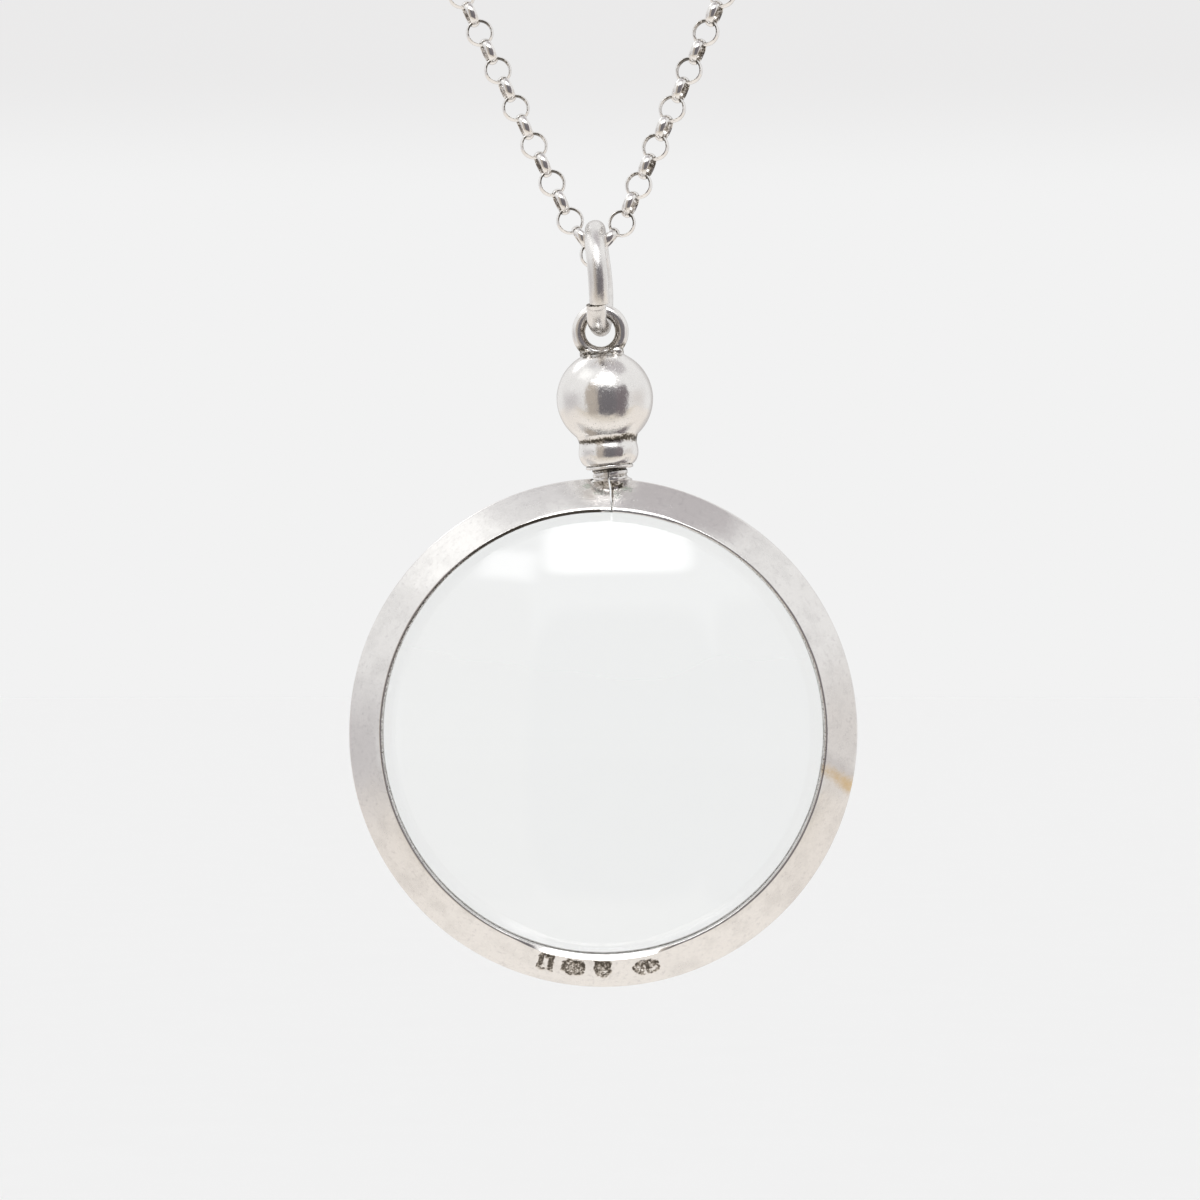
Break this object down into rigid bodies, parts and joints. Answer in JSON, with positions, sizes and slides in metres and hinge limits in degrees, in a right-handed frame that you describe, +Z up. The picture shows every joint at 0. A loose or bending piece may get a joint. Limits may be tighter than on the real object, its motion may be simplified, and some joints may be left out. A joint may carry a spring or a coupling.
{
  "type": "glass locket necklace",
  "caption": "Round silver locket with domed clear glasses in a slit spring ring, closed by a ball-topped screw knob and hung by a ring bail on a fine belcher chain.",
  "frame": {"origin": "centre of the neck's hollow inside the chain, level with the chain at the nape", "axes": "+Z up, -Y the way the locket faces, +X to the viewer's right; the locket hangs at the front, below the origin"},
  "size_m": [0.1158, 0.1267, 0.1825],
  "materials": {
    "chain_silver": "polished silver",
    "bail_silver": "polished silver, fine scratches",
    "knob_silver": "polished silver, dark tarnish in the joints",
    "frame_silver": "worn satin silver, tarnished round the post",
    "clear_glass": "clear, polished"
  },
  "bodies": {
    "necklace": {"chain_front": "chain_silver", "chain_back": "chain_silver", "clasp": "chain_silver"},
    "bail": {"bail": "bail_silver"},
    "knob": {"knob": "knob_silver"},
    "locket": {"frame": "frame_silver", "front_glass": "clear_glass", "back_glass": "clear_glass"}
  },
  "joints": [
    {"name": "bail_swing", "type": "hinge", "parent": "necklace", "child": "bail", "pos_m": [-0.00021, -0.064, -0.12796], "axis": [1, 0, 0], "range_deg": [-80, 80]},
    {"name": "side_swing", "type": "hinge", "parent": "bail", "child": "knob", "pos_m": [0.00019, -0.064, -0.13306], "axis": [0, 1, 0], "range_deg": [-75, 75]},
    {"name": "knob_screw", "type": "hinge", "parent": "knob", "child": "locket", "pos_m": [0.00054, -0.064, -0.13805], "axis": [-0.0698, 0, 0.9976], "range_deg": [-810, 0]}
  ]
}
